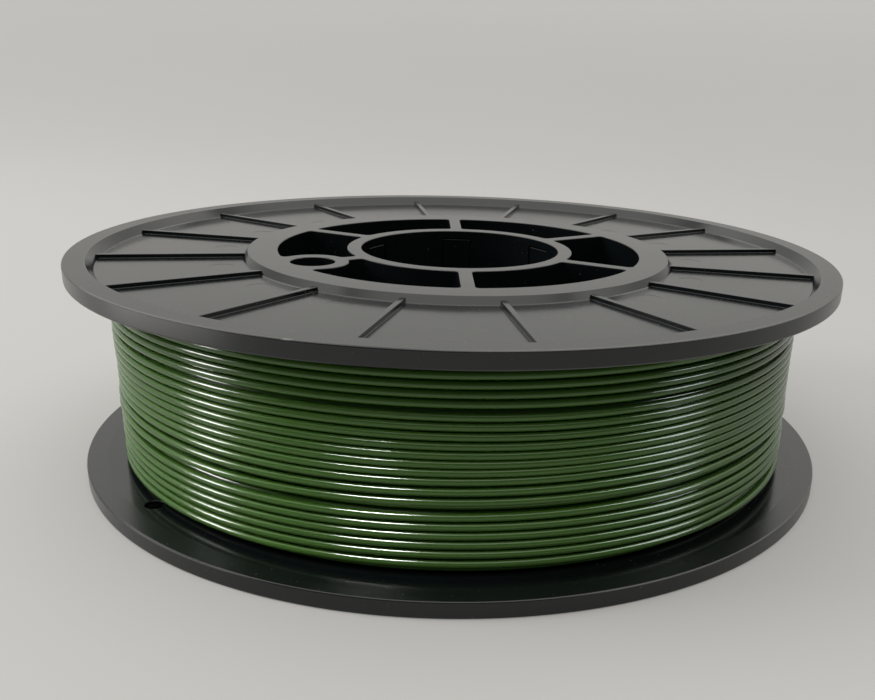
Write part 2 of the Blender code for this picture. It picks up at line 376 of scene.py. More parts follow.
def edge_levels(top, bottom, edge, both_ends):
    """(height, growth) pairs of a cutter that rounds the edge where it opens, at its top or at both ends."""
    leans = [math.radians(angle) for angle in FLARE_ANGLES]
    flare = [(edge * math.sin(lean), edge * (1 - math.cos(lean))) for lean in leans]
    upper = [(top - edge + up, grow) for up, grow in flare]
    upper.append((top + CUT_MARGIN, upper[-1][1]))
    lower = [(bottom + edge - up, grow) for up, grow in flare]
    lower.append((bottom - CUT_MARGIN, lower[-1][1]))
    return (lower[::-1] if both_ends else [(bottom, 0.0)]) + upper


def add_pockets(shape, top, bottom, edge, ring, spoke_width):
    """Adds the cutters of the six pockets between the spokes."""
    for index in range(SPOKE_COUNT):
        levels = []
        for height, grow in edge_levels(top, bottom, edge, True):
            levels.append([(x, y, height) for x, y in pocket_outline(index, grow, ring, spoke_width)])
        add_loft(shape, levels)


def add_hole(shape, centre, radius, top, bottom, edge, both_ends=True, steps=HOLE_STEPS):
    """Adds a round cutter whose ends flare out into rounded edges."""
    levels = []
    for height, grow in edge_levels(top, bottom, edge, both_ends):
        ring = arc(centre, radius + grow, 0.0, math.tau * (1 - 1 / steps), steps - 1)
        levels.append([(x, y, height) for x, y in ring])
    add_loft(shape, levels)


def finger_outline(inner, thickness, barb, tip, barb_height, root, edge):
    """A snap finger's (radius, height) outline: it hooks outwards below its tip."""
    return rounded(
        [
            (inner + thickness + barb, tip, edge),
            (inner + thickness + barb, tip - barb_height, edge / 2),
            (inner + thickness, tip - barb_height - barb, 0.0),
            (inner + thickness, root, 0.0),
            (inner, root, 0.0),
            (inner, tip, edge),
        ],
        HIDDEN_EDGE_STEPS,
    )


# ---------------------------------------------------------------- flange

def flange_outline():
    """Rim, web, raised hub with the barrel's groove under it, and spigot, as a solid disc around the bore."""
    rim_inner = FLANGE_RADIUS - RIM_WIDTH
    groove_top = -FLANGE_THICKNESS + GROOVE_DEPTH
    return rounded(
        [
            (FLANGE_RADIUS, 0.0, RIM_EDGE_ROUND),
            (FLANGE_RADIUS, -FLANGE_THICKNESS, INNER_EDGE_ROUND),
            (GROOVE_OUTER_RADIUS, -FLANGE_THICKNESS, GROOVE_EDGE_ROUND),
            (GROOVE_OUTER_RADIUS, groove_top, 0.0),
            (SPIGOT_OUTER_RADIUS, groove_top, 0.0),
            (SPIGOT_OUTER_RADIUS, -HUB_FRAME_DEPTH, INNER_EDGE_ROUND),
            (BORE_RADIUS, -HUB_FRAME_DEPTH, BORE_EDGE_ROUND),
            (BORE_RADIUS, -HUB_TOP_DEPTH, EDGE_ROUND),
            (RING_OUTER_RADIUS, -HUB_TOP_DEPTH, EDGE_ROUND),
            (RING_OUTER_RADIUS + RING_SLOPE, -PAN_DEPTH, PAN_ROUND),
            (rim_inner - RIM_SLOPE, -PAN_DEPTH, PAN_ROUND),
            (rim_inner, 0.0, EDGE_ROUND),
        ]
    )


def rib_section():
    """A rib's (across, height) section, with a rounded top and a foot that flows into the pan."""
    half = RIB_WIDTH / 2
    top = -PAN_DEPTH + RIB_HEIGHT
    side = []
    for angle in RIB_FOOT_ANGLES:
        lean = math.radians(angle)
        across = half + RIB_FOOT_ROUND * (1 - math.cos(lean))
        side.append((across, -PAN_DEPTH + RIB_FOOT_ROUND * (1 - math.sin(lean))))
    side.reverse()
    for angle in RIB_TOP_ANGLES:
        lean = math.radians(angle)
        across = half - RIB_DRAFT - RIB_TOP_ROUND * (1 - math.cos(lean))
        side.append((across, top - RIB_TOP_ROUND * (1 - math.sin(lean))))
    side.insert(0, (side[0][0], -PAN_DEPTH - RIB_ROOT_DEPTH))
    return side + [(-across, height) for across, height in reversed(side)]


def flange_moulding():
    """One flange with its outer face at height 0 and its boss on +X."""
    shape = bmesh.new()
    add_turned(shape, flange_outline())
    flange = object_from(shape, "flange")

    cuts = bmesh.new()
    add_pockets(cuts, -HUB_TOP_DEPTH, -HUB_FRAME_DEPTH, EDGE_ROUND, RING_INNER_RADIUS, SPOKE_WIDTH)
    boss = (BOSS_CENTRE_RADIUS, 0.0)
    add_hole(cuts, boss, BOSS_HOLE_RADIUS, -HUB_TOP_DEPTH, -HUB_FRAME_DEPTH, EDGE_ROUND)
    slot = finger_outline(
        BORE_RADIUS - OVERLAP,
        FINGER_THICKNESS + OVERLAP + 3 * CLEARANCE,
        BARB_REACH,
        -FINGER_TIP_DEPTH + CLEARANCE,
        BARB_HEIGHT + CLEARANCE,
        -HUB_FRAME_DEPTH - CUT_MARGIN,
        SLOT_EDGE_ROUND,
    )
    width = (FINGER_WIDTH + 2 * CLEARANCE) / (BORE_RADIUS + FINGER_THICKNESS / 2)
    for angle in SPOKE_ANGLES:
        add_turned(cuts, slot, angle - width / 2, width, FINGER_STEPS)
    for angle in RIB_ANGLES:
        middle = angle + math.pi / RIB_COUNT
        centre = (EJECTOR_CENTRE_RADIUS * math.cos(middle), EJECTOR_CENTRE_RADIUS * math.sin(middle))
        bottom = -PAN_DEPTH - EJECTOR_DEPTH
        add_hole(cuts, centre, EJECTOR_RADIUS, -PAN_DEPTH, bottom, EJECTOR_EDGE_ROUND, False, EJECTOR_STEPS)
    combine(flange, "DIFFERENCE", object_from(cuts, "flange_cuts"))

    ribs = bmesh.new()
    section = rib_section()
    start = RING_OUTER_RADIUS - OVERLAP / 2
    end = FLANGE_RADIUS - RIM_WIDTH + OVERLAP / 2
    for angle in RIB_ANGLES:
        c, s = math.cos(angle), math.sin(angle)
        ends = []
        for along in (start, end):
            ends.append(
                [(c * along - s * across, s * along + c * across, height) for across, height in section]
            )
        add_loft(ribs, ends)
    combine(flange, "UNION", object_from(ribs, "flange_ribs"))
    return flange


def make_flanges(material):
    """The upper flange, and the same moulding turned over with holes for the strand's ends."""
    upper = flange_moulding()
    lower = upper.copy()
    lower.data = upper.data.copy()
    bpy.context.scene.collection.objects.link(lower)
    turn = Matrix.Rotation(BOSS_ANGLE, 4, "Z")
    upper.data.transform(Matrix.Translation((0.0, 0.0, SPOOL_WIDTH)) @ turn)
    lower.data.transform(turn @ Matrix.Rotation(math.pi, 4, "X"))
    upper.name = "upper_flange_moulding"
    lower.name = "lower_flange_moulding"
    holes = bmesh.new()
    for angle in (END_HOLE_OFFSET, END_HOLE_OFFSET + math.pi):
        place = BOSS_ANGLE + angle
        centre = (END_HOLE_CENTRE_RADIUS * math.cos(place), END_HOLE_CENTRE_RADIUS * math.sin(place))
        add_hole(
            holes, centre, END_HOLE_RADIUS, FLANGE_THICKNESS, PAN_DEPTH, EDGE_ROUND, steps=END_HOLE_STEPS
        )
    combine(lower, "DIFFERENCE", object_from(holes, "end_holes"))
    finish_moulding(upper, material, ["upper_flange"])
    finish_moulding(lower, material, ["lower_flange"])
    return together("flanges", (upper, lower))


# ---------------------------------------------------------------- hub core

def make_hub_core(material):
    """Barrel, bore tube, ribs and pin tube in one, with six snap fingers at each end."""
    barrel = SPOOL_WIDTH / 2 - FLANGE_THICKNESS + GROOVE_DEPTH - CLEARANCE
    inside = SPOOL_WIDTH / 2 - HUB_FRAME_DEPTH - CLEARANCE
    shape = bmesh.new()
    outline = rounded(
        [
            (BARREL_OUTER_RADIUS, barrel, CORE_EDGE_ROUND),
            (BARREL_OUTER_RADIUS, -barrel, CORE_EDGE_ROUND),
            (BARREL_INNER_RADIUS, -barrel, CORE_EDGE_ROUND),
            (BARREL_INNER_RADIUS, -inside, 0.0),
            (CORE_BORE_RADIUS, -inside, BORE_EDGE_ROUND),
            (CORE_BORE_RADIUS, inside, BORE_EDGE_ROUND),
            (BARREL_INNER_RADIUS, inside, 0.0),
            (BARREL_INNER_RADIUS, barrel, CORE_EDGE_ROUND),
        ],
        HIDDEN_EDGE_STEPS,
    )
    add_turned(shape, outline)
    core = object_from(shape, "hub_core_moulding")
    cuts = bmesh.new()
    ring = BARREL_INNER_RADIUS - CORE_POCKET_INSET
    add_pockets(cuts, inside, -inside, BORE_EDGE_ROUND, ring, CORE_RIB_WIDTH)
    add_hole(cuts, (BOSS_CENTRE_RADIUS, 0.0), BOSS_HOLE_RADIUS, inside, -inside, BORE_EDGE_ROUND)
    combine(core, "DIFFERENCE", object_from(cuts, "core_cuts"))
    tips = bmesh.new()
    finger = finger_outline(
        CORE_BORE_RADIUS + CLEARANCE / 2,
        FINGER_THICKNESS,
        BARB_REACH,
        SPOOL_WIDTH / 2 - FINGER_TIP_DEPTH,
        BARB_HEIGHT,
        inside - OVERLAP,
        FINGER_TIP_ROUND,
    )
    mirrored = [(radius, -height) for radius, height in finger]
    width = FINGER_WIDTH / (BORE_RADIUS + FINGER_THICKNESS / 2)
    for angle in SPOKE_ANGLES:
        add_turned(tips, finger, angle - width / 2, width, FINGER_STEPS)
        add_turned(tips, mirrored, angle - width / 2, width, FINGER_STEPS)
    combine(core, "UNION", object_from(tips, "core_fingers"))
    core.data.transform(
        Matrix.Translation((0.0, 0.0, SPOOL_WIDTH / 2)) @ Matrix.Rotation(BOSS_ANGLE, 4, "Z")
    )
    finish_moulding(core, material, ["hub_core"])


# ---------------------------------------------------------------- wound strand

def smooth_step(value):
    """0 up to 0, 1 from 1 on, and a smooth rise between."""
    value = min(max(value, 0.0), 1.0)
    return value * value * (3 - 2 * value)


def make_wobble(draws, size, waves):
    """A smooth unevenness over azimuth that changes slowly from turn to turn."""
    terms = []
    for i in range(waves):
        amount = draws.uniform(0.5, 1.0) / (1 + WAVE_DECAY * i)
        phase = draws.uniform(0, math.tau)
        drift = draws.uniform(-WAVE_DRIFT, WAVE_DRIFT)
        terms.append((amount, i + 1, phase, drift))
    total = math.sqrt(sum(amount**2 for amount, *_ in terms) / 2)

    def wobble(azimuth, turn):
        height = sum(a * math.sin(n * azimuth + phase + drift * turn) for a, n, phase, drift in terms)
        return size * height / total

    return wobble


def outer_height(turn):
    """Height of the outer layer, counted in turns from the lowest one, which is whole at the front."""
    height = OUTER_LOWEST
    if turn < 0:
        return height + turn * OUTER_BANDS[0][1] * LAST_PITCH_SHARE
    for count, step in OUTER_BANDS:
        taken = min(turn, count)
        height += taken * step
        turn -= taken
        if turn <= 0:
            break
    return height


class Winding:
    """Where the strand's centre line runs, in turns counted from the front."""

    def __init__(self, seed):
        draws = random.Random(seed)
        self.under_sway = make_wobble(draws, HEIGHT_WOBBLE, HEIGHT_WAVES)
        self.outer_sway = make_wobble(draws, HEIGHT_WOBBLE, HEIGHT_WAVES)
        self.outer_swell = make_wobble(draws, RADIUS_WOBBLE, RADIUS_WAVES)
        self.under_pitch = (SPOOL_WIDTH - 2 * UNDER_LOWEST) / UNDER_TURNS

    def under(self, turn):
        """The layer below: it climbs as its azimuth falls."""
        azimuth = FRONT - math.tau * turn
        height = UNDER_LOWEST + self.under_pitch * max(turn, 0.0)
        room = min(1.0, turn, UNDER_TURNS - turn)
        height += self.under_sway(azimuth, turn) * max(room, 0.0)
        return azimuth, height

    def outer(self, turn):
        """The outer layer: it lies across the layer below, and sinks between its turns where it can."""
        azimuth = FRONT + math.tau * turn
        swaying = smooth_step((OUTER_TURNS - turn) / SWAY_GROWS_OVER_TURNS)
        height = outer_height(turn) + self.outer_sway(azimuth, turn) * swaying
        part = (-turn) % 1.0
        nearest = round((height - UNDER_LOWEST) / self.under_pitch - part) + part
        _, under_height = self.under(nearest)
        beside = min(abs(height - under_height), 0.5 * self.under_pitch)
        radius = UNDER_RADIUS + math.sqrt(STRAND_DIAMETER**2 - beside**2)
        start, end = SUNK_TURNS
        sunk = smooth_step((turn - start) / SINK_WITHIN_TURNS) * smooth_step((end - turn) / SINK_WITHIN_TURNS)
        return azimuth, height, radius + self.outer_swell(azimuth, turn) - SUNK_DEPTH * sunk

    def path(self):
        """The whole visible strand, from the start of the layer below to the end in its hole."""
        points = []
        steps = round((UNDER_TURNS + UNDER_LEAD_IN) * STEPS_PER_TURN)
        for i in range(steps):
            turn = i / STEPS_PER_TURN - UNDER_LEAD_IN
            azimuth, height = self.under(turn)
            sunk = STRAND_DIAMETER * smooth_step(-turn / UNDER_LEAD_IN)
            points.append((UNDER_RADIUS - sunk, azimuth, height))
        steps = round((OUTER_TURNS - TAIL_LEAVES_AT) * STEPS_PER_TURN)
        for i in range(steps):
            turn = OUTER_TURNS - i / STEPS_PER_TURN
            azimuth, height, radius = self.outer(turn)
            climb = smooth_step(i / (CLIMB_WITHIN_TURNS * STEPS_PER_TURN))
            points.append((UNDER_RADIUS + (radius - UNDER_RADIUS) * climb, azimuth, height))
        points += self.tail(points[-1])
        return points

    def tail(self, last):
        """Over the neighbouring turns, up in a low arch, and down into the rear hole."""
        radius, azimuth, height = last
        hole = BOSS_ANGLE + math.pi + END_HOLE_OFFSET
        start = hole + TAIL_SWEEP
        way = (azimuth - start) % math.tau
        points = []
        steps = round(way / math.tau * STEPS_PER_TURN)
        for i in range(1, steps + 1):
            share = i / steps
            out = radius + (TAIL_RADIUS - radius) * smooth_step(share * TAIL_LIFT_RATE)
            up = height + (TAIL_START_HEIGHT - height) * smooth_step(share)
            points.append((out, azimuth - way * share, up))
        for i in range(1, TAIL_STEPS + 1):
            share = i / TAIL_STEPS
            along = 1.0 - (1.0 - min(share / TAIL_TURN_SHARE, 1.0)) ** TAIL_TURN_EASE
            down = TAIL_START_HEIGHT + (TAIL_END_HEIGHT - TAIL_START_HEIGHT) * share**TAIL_DROP_EASE
            points.append((TAIL_RADIUS, azimuth - way - TAIL_SWEEP * along, down))
        return points


def strand_mesh(path, name):
    """A round tube of the strand's diameter along (radius, azimuth, height) points, with closed ends."""
    centres = [Vector((r * math.cos(a), r * math.sin(a), h)) for r, a, h in path]
    shape = bmesh.new()
    rings = []
    for i, centre in enumerate(centres):
        following = centres[min(i + 1, len(centres) - 1)]
        ahead = (following - centres[max(i - 1, 0)]).normalized()
        outwards = Vector((math.cos(path[i][1]), math.sin(path[i][1]), 0.0))
        outwards = (outwards - ahead * outwards.dot(ahead)).normalized()
        across = ahead.cross(outwards)
        ring = []
        for j in range(STRAND_SIDES):
            angle = math.tau * j / STRAND_SIDES
            spoke = outwards * math.cos(angle) + across * math.sin(angle)
            ring.append(shape.verts.new(centre + spoke * STRAND_DIAMETER / 2))
        rings.append(ring)
    for here, there in zip(rings, rings[1:]):
        for j in range(STRAND_SIDES):
            k = (j + 1) % STRAND_SIDES
            shape.faces.new((here[j], here[k], there[k], there[j]))
    shape.faces.new(rings[0])
    shape.faces.new(rings[-1])
    return object_from(shape, name)


def inner_turns_outline():
    """The deeper layers as one ring, whose outside has the turns of the layer under the strand's two."""
    low = FLANGE_THICKNESS + CLEARANCE
    high = SPOOL_WIDTH - low
    radius = UNDER_RADIUS - INNER_NESTING * STRAND_DIAMETER
    count = int((high - low) / STRAND_DIAMETER)
    pitch = (high - low) / count
    outline = []
    for turn in range(count):
        middle = high - pitch * (turn + 0.5)
        for angle in INNER_TURN_ANGLES:
            lean = math.radians(angle)
            out = radius + STRAND_DIAMETER / 2 * math.cos(lean)
            outline.append((out, middle + pitch / 2 * math.sin(lean)))
    inner = BARREL_OUTER_RADIUS + CLEARANCE
    return outline + [(inner, low), (inner, high)]


def make_filament(material):
    """The strand, and the layers under it."""
    winding = Winding(SEED)
    strand = strand_mesh(winding.path(), "filament_strand")
    shape = bmesh.new()
    add_turned(shape, inner_turns_outline(), steps=INNER_TURN_STEPS)
    inner = object_from(shape, "filament_inner_turns")
    for piece, nodes in ((strand, ("wound_filament", "filament_end")), (inner, ("wound_filament",))):
        piece.data.materials.append(material)
        piece.data.shade_smooth()
        piece.data.set_sharp_from_angle(angle=STRAND_SHARP_ANGLE)
        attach(piece, "root")
        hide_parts(*nodes)
    return together("filament", (strand, inner))


# ---------------------------------------------------------------- materials

# Linear colours
PLASTIC_DARK = (0.0030, 0.0042, 0.0047, 1.0)
PLASTIC_LIGHT = (0.0048, 0.0063, 0.0070, 1.0)
# Pale grey towards which worn nicks and the painted highlight along the rim's rounded edges lighten the base
# colour
EDGE_WEAR_AND_HIGHLIGHT = (0.15, 0.147, 0.140, 1.0)
DUST = (0.16, 0.155, 0.145, 1.0)
GREEN_DARK = (0.036, 0.096, 0.011, 1.0)
GREEN_LIGHT = (0.058, 0.145, 0.020, 1.0)
GREEN_SCRATCHED = (0.10, 0.17, 0.08, 1.0)
PAPER_DARK = (0.25, 0.249, 0.246, 1.0)
PAPER_LIGHT = (0.27, 0.269, 0.266, 1.0)
PAPER_GLOW = (1.0, 0.985, 0.935, 1.0)

# Scales of the unevennesses, in cells per metre
GRAIN_SCALE = 2400.0
CLOUD_SCALE = 38.0
FLOW_SCALE = 14.0
SCUFF_SCALE = 420.0
SPECK_SCALE = 1500.0
NICK_SCALE = 260.0
LINE_SCALE = 3000.0
TONE_SCALE = 260.0
PATCH_SCALE = 55.0
SCRATCH_SCALE = 5200.0
PAPER_SCALE = 3.0
# How much the strand's unevennesses are drawn out along it: metres of noise for a radian of winding
LENGTHWISE = 0.004

# Ranges of a noise's value: nearly all of it, and the rare peaks that make specks, nicks and scratches
WHOLE_NOISE = (0.3, 0.7)
SPECK_PEAKS = (0.74, 0.80)
NICK_PEAKS = (0.70, 0.76)
SCRATCH_PEAKS = (0.66, 0.74)
# Range of a slow noise over which stretches of painted highlight come in along the rim's rounded edges
EDGE_HIGHLIGHT_STRETCHES = (0.42, 0.60)
# Insets from the flange's outer radius between which wear and the painted edge highlight set in, and fade
# again before the side
WEAR_AND_HIGHLIGHT_SET_IN = (RIM_EDGE_ROUND, 0.25 * MM)
WEAR_AND_HIGHLIGHT_FADE = (0.08 * MM, 0.01 * MM)
# Distances from the rim's inner radius between which the rim's own roughness sets in
RIM_SETS_IN = (-0.2 * MM, 0.4 * MM)
# How far the painted edge highlight, specks and scratches change the colour
EDGE_HIGHLIGHT_SHARE = 0.55
SPECK_SHARE = 0.35
SCRATCH_SHARE = 0.25

# Roughness from the smoothest to the roughest stretch, and what marks add to it
PLASTIC_ROUGHNESS = (0.14, 0.20)
RIM_ROUGHER = 0.10
WEAR_AND_HIGHLIGHT_ROUGHER = 0.15
SPECK_ROUGHER = 0.2
FILAMENT_ROUGHNESS = (0.08, 0.13)
LINE_ROUGHER = 0.05
PAPER_ROUGHNESS = 0.85
PLASTIC_IOR = 1.52
FILAMENT_IOR = 1.48

# Bumps: (strength, height)
FLOW_BUMP = (0.25, 0.3 * MM)
GRAIN_BUMP = (0.10, 0.03 * MM)
SCUFF_BUMP = (0.05, 0.05 * MM)
LINE_BUMP = (0.10, 0.02 * MM)
PATCH_BUMP = (0.15, 0.1 * MM)


def node(tree, kind, inputs=None, **settings):
    """Adds a shader node; an input's value may be a socket to link."""
    made = tree.nodes.new(kind)
    for name, value in settings.items():
        setattr(made, name, value)
    for name, value in (inputs or {}).items():
        if isinstance(value, bpy.types.NodeSocket):
            tree.links.new(value, made.inputs[name])
        else:
            made.inputs[name].default_value = value
    return made


def maths(tree, operation, first, second):
    return node(tree, "ShaderNodeMath", {0: first, 1: second}, operation=operation).outputs[0]


def add_share(tree, value, mark, amount):
    """The value, plus an amount where there is a mark."""
    return maths(tree, "ADD", value, maths(tree, "MULTIPLY", mark, amount))


def spread(tree, value, low, high, to_low=0.0, to_high=1.0):
    """Maps a value from one range to another, smoothly and clamped."""
    made = node(
        tree,
        "ShaderNodeMapRange",
        {"Value": value, "From Min": low, "From Max": high, "To Min": to_low, "To Max": to_high},
        interpolation_type="SMOOTHSTEP",
    )
    return made.outputs["Result"]


def noise(tree, vector, scale, detail=2.0, roughness=0.5):
    inputs = {"Vector": vector, "Scale": scale, "Detail": detail, "Roughness": roughness}
    return node(tree, "ShaderNodeTexNoise", inputs).outputs["Fac"]


def blend_colours(tree, share, first, second):
    """A mix of two colours; 6 and 7 are the Mix node's colour inputs, and 2 its colour output."""
    return node(tree, "ShaderNodeMix", {0: share, 6: first, 7: second}, data_type="RGBA").outputs[2]


def bump(tree, height, strength, distance, normal=None):
    inputs = {"Height": height, "Strength": strength, "Distance": distance}
    if normal is not None:
        inputs["Normal"] = normal
    return node(tree, "ShaderNodeBump", inputs).outputs["Normal"]


def distance_from_axis(tree, place):
    flat = node(tree, "ShaderNodeVectorMath", {0: place, 1: (1.0, 1.0, 0.0)}, operation="MULTIPLY").outputs[0]
    return node(tree, "ShaderNodeVectorMath", {0: flat}, operation="LENGTH").outputs["Value"]


def new_material(name):
    """A material, its node tree, its shader, and the socket of the place on the object."""
    material = bpy.data.materials.new(name)
    material.use_nodes = True
    tree = material.node_tree
    shader = tree.nodes["Principled BSDF"]
    place = node(tree, "ShaderNodeTexCoord").outputs["Object"]
    return material, tree, shader, place


def black_plastic():
    """Satin black moulded plastic: fine grain, uneven gloss, painted highlight in stretches along the rim
    edges with rare worn nicks, and dust.
    """
    material, tree, shader, place = new_material("moulded_black_plastic")
    radius = distance_from_axis(tree, place)
    grain = noise(tree, place, GRAIN_SCALE)
    cloud = noise(tree, place, CLOUD_SCALE, 3.0)
    flow = noise(tree, place, FLOW_SCALE)
    scuff = noise(tree, place, SCUFF_SCALE, 4.0, 0.65)
    specks = spread(tree, noise(tree, place, SPECK_SCALE, 1.0), *SPECK_PEAKS)

    # Worn nicks and stretches of painted highlight are only on the rim's rounded edges, between its flat face
    # and its side
    edge = spread(tree, radius, *(FLANGE_RADIUS - inset for inset in WEAR_AND_HIGHLIGHT_SET_IN))
    side = spread(tree, radius, *(FLANGE_RADIUS - inset for inset in WEAR_AND_HIGHLIGHT_FADE), 1.0, 0.0)
    # Painted highlight: stretches of the rounded edge whose colour is made lighter, in place of the edge's
    # glint
    painted_edge_highlight = spread(tree, flow, *EDGE_HIGHLIGHT_STRETCHES, 0.0, EDGE_HIGHLIGHT_SHARE)
    nicks = spread(tree, noise(tree, place, NICK_SCALE, 1.0), *NICK_PEAKS)
    rounded_edge = maths(tree, "MULTIPLY", edge, side)
    wear_and_edge_highlight = maths(tree, "MULTIPLY", rounded_edge, maths(tree, "MAXIMUM", painted_edge_highlight, nicks))
    rim = spread(tree, radius, *(FLANGE_RADIUS - RIM_WIDTH + way for way in RIM_SETS_IN))

    body = blend_colours(tree, cloud, PLASTIC_DARK, PLASTIC_LIGHT)
    # The base colour is lightened where the edge is worn and where its highlight is painted
    worn_and_highlit = blend_colours(tree, wear_and_edge_highlight, body, EDGE_WEAR_AND_HIGHLIGHT)
    dusty = blend_colours(tree, maths(tree, "MULTIPLY", specks, SPECK_SHARE), worn_and_highlit, DUST)
    tree.links.new(dusty, shader.inputs["Base Color"])

    gloss = spread(tree, flow, *WHOLE_NOISE, *PLASTIC_ROUGHNESS)
    gloss = add_share(tree, gloss, rim, RIM_ROUGHER)
    gloss = add_share(tree, gloss, wear_and_edge_highlight, WEAR_AND_HIGHLIGHT_ROUGHER)
    gloss = add_share(tree, gloss, specks, SPECK_ROUGHER)
    tree.links.new(gloss, shader.inputs["Roughness"])

    relief = bump(tree, flow, *FLOW_BUMP)
    relief = bump(tree, grain, *GRAIN_BUMP, relief)
    relief = bump(tree, scuff, *SCUFF_BUMP, relief)
    tree.links.new(relief, shader.inputs["Normal"])
    shader.inputs["IOR"].default_value = PLASTIC_IOR
    return material


def green_filament():
    """Glossy dark green extruded strand: faint lines along it, slow changes of tone and small scratches."""
    material, tree, shader, place = new_material("glossy_green_filament")
    parts = node(tree, "ShaderNodeSeparateXYZ", {0: place})
    azimuth = maths(tree, "ARCTAN2", parts.outputs["Y"], parts.outputs["X"])
    around = maths(tree, "MULTIPLY", azimuth, LENGTHWISE)
    radius = distance_from_axis(tree, place)
    unrolled = {"X": around, "Y": parts.outputs["Z"], "Z": radius}
    lengthwise = node(tree, "ShaderNodeCombineXYZ", unrolled).outputs["Vector"]
    lines = noise(tree, lengthwise, LINE_SCALE)
    tone = noise(tree, lengthwise, TONE_SCALE)
    patches = noise(tree, place, PATCH_SCALE)
    scratches = spread(tree, noise(tree, lengthwise, SCRATCH_SCALE, 1.0), *SCRATCH_PEAKS)

    green = blend_colours(tree, tone, GREEN_DARK, GREEN_LIGHT)
    green = blend_colours(tree, maths(tree, "MULTIPLY", scratches, SCRATCH_SHARE), green, GREEN_SCRATCHED)
    tree.links.new(green, shader.inputs["Base Color"])
    gloss = spread(tree, patches, *WHOLE_NOISE, *FILAMENT_ROUGHNESS)
    gloss = add_share(tree, gloss, lines, LINE_ROUGHER)
    tree.links.new(gloss, shader.inputs["Roughness"])
    relief = bump(tree, lines, *LINE_BUMP)
    relief = bump(tree, patches, *PATCH_BUMP, relief)
    tree.links.new(relief, shader.inputs["Normal"])
    shader.inputs["IOR"].default_value = FILAMENT_IOR
    return material


# ---------------------------------------------------------------- stage, lights and camera

FLOOR_RADIUS = 0.85
WALL_RADIUS = 1.35
WALL_HEIGHT = 1.25
FLOOR_GAP = 0.05 * MM
STAGE_STEPS = 144
FLOOR_RINGS = (0.0, 0.02, 0.3, FLOOR_RADIUS)
WALL_STEPS = 16
FRONT_WALL_SPAN = math.radians(130)

# The paper's own light at the floor, at the height GLOW_RISE, and at the wall's top, as bright as the sky
FLOOR_GLOW = 0.21
WALL_GLOW = 0.50
GLOW_RISE = 0.45
SKY_GLOW = 2.0
# Distances from the spool's centre between which the paper's own light sets in; inside them the floor is left
# darker as a painted shadow under and around the spool
GLOW_STARTS_AT = 0.93 * FLANGE_RADIUS
GLOW_FULL_AT = 1.02 * FLANGE_RADIUS

# The sky: dim up to SKY_STARTS, and bright from SKY_FULL on, as heights of a direction of length 1
SKY_STARTS = 0.62
SKY_FULL = 0.78
LOW_SKY_GLOW = 0.08
SKY_COLOUR = (1.0, 0.985, 0.95, 1.0)


def stage_piece(name, outline, start, sweep, material):
    """An open surface turned about Z from an outline of (radius, height) points."""
    steps = round(STAGE_STEPS * sweep / math.tau)
    shape = bmesh.new()
    rings = []
    for i in range(steps + 1):
        angle = start + sweep * i / steps
        rings.append([shape.verts.new((r * math.cos(angle), r * math.sin(angle), h)) for r, h in outline])
    for here, there in zip(rings, rings[1:]):
        for j in range(len(outline) - 1):
            shape.faces.new((here[j], there[j], there[j + 1], here[j + 1]))
    bmesh.ops.remove_doubles(shape, verts=shape.verts, dist=1e-6)
    mesh = bpy.data.meshes.new(name)
    shape.to_mesh(mesh)
    shape.free()
    mesh.shade_smooth()
    mesh.materials.append(material)
    piece = bpy.data.objects.new(name, mesh)
    bpy.context.scene.collection.objects.link(piece)
    return piece


def pale_paper():
    """Matt pale paper with a little light of its own, except under the spool, where its absence paints the
    spool's shadow.
    """
    material, tree, shader, place = new_material("pale_paper")
    tone = blend_colours(tree, noise(tree, place, PAPER_SCALE), PAPER_DARK, PAPER_LIGHT)
    tree.links.new(tone, shader.inputs["Base Color"])
    away = node(tree, "ShaderNodeVectorMath", {0: place}, operation="LENGTH").outputs["Value"]
    height = node(tree, "ShaderNodeSeparateXYZ", {0: place}).outputs["Z"]
    low = spread(tree, height, 0.0, GLOW_RISE, FLOOR_GLOW, WALL_GLOW)
    high = spread(tree, height, GLOW_RISE, WALL_HEIGHT, 0.0, SKY_GLOW - WALL_GLOW)
    # No glow under and just around the spool: a painted contact shadow on the floor
    outside = spread(tree, away, GLOW_STARTS_AT, GLOW_FULL_AT)
    glow = maths(tree, "MULTIPLY", outside, maths(tree, "ADD", low, high))
    tree.links.new(glow, shader.inputs["Emission Strength"])
    shader.inputs["Emission Color"].default_value = PAPER_GLOW
    shader.inputs["Roughness"].default_value = PAPER_ROUGHNESS
    shader.inputs["Specular IOR Level"].default_value = 0.2
    return material


def make_stage():
    """A pale floor that curves up into a wall all round, with an open top.

    The far wall shows in reflections but lights nothing else, so the gaps between the turns stay dark. The
    wall on the viewer's side gives no light and shows in no reflection, like the dark end of a studio.
    """
    paper = pale_paper()
    rise = WALL_RADIUS - FLOOR_RADIUS
    floor = [(radius, -FLOOR_GAP) for radius in FLOOR_RINGS]
    wall = [(FLOOR_RADIUS, -FLOOR_GAP)]
    for step in range(1, WALL_STEPS + 1):
        lean = math.radians(90 * step / WALL_STEPS)
        wall.append((FLOOR_RADIUS + rise * math.sin(lean), rise * (1 - math.cos(lean)) - FLOOR_GAP))
    wall.append((WALL_RADIUS, WALL_HEIGHT))
    stage_piece("studio_floor", floor, 0.0, math.tau, paper)
    start = FRONT + FRONT_WALL_SPAN / 2
    far_wall = stage_piece("studio_wall", wall, start, math.tau - FRONT_WALL_SPAN, paper)
    far_wall.visible_diffuse = False
    viewer_wall = stage_piece("studio_viewer_wall", wall, start - FRONT_WALL_SPAN, FRONT_WALL_SPAN, paper)
    viewer_wall.visible_glossy = False
    viewer_wall.visible_diffuse = False


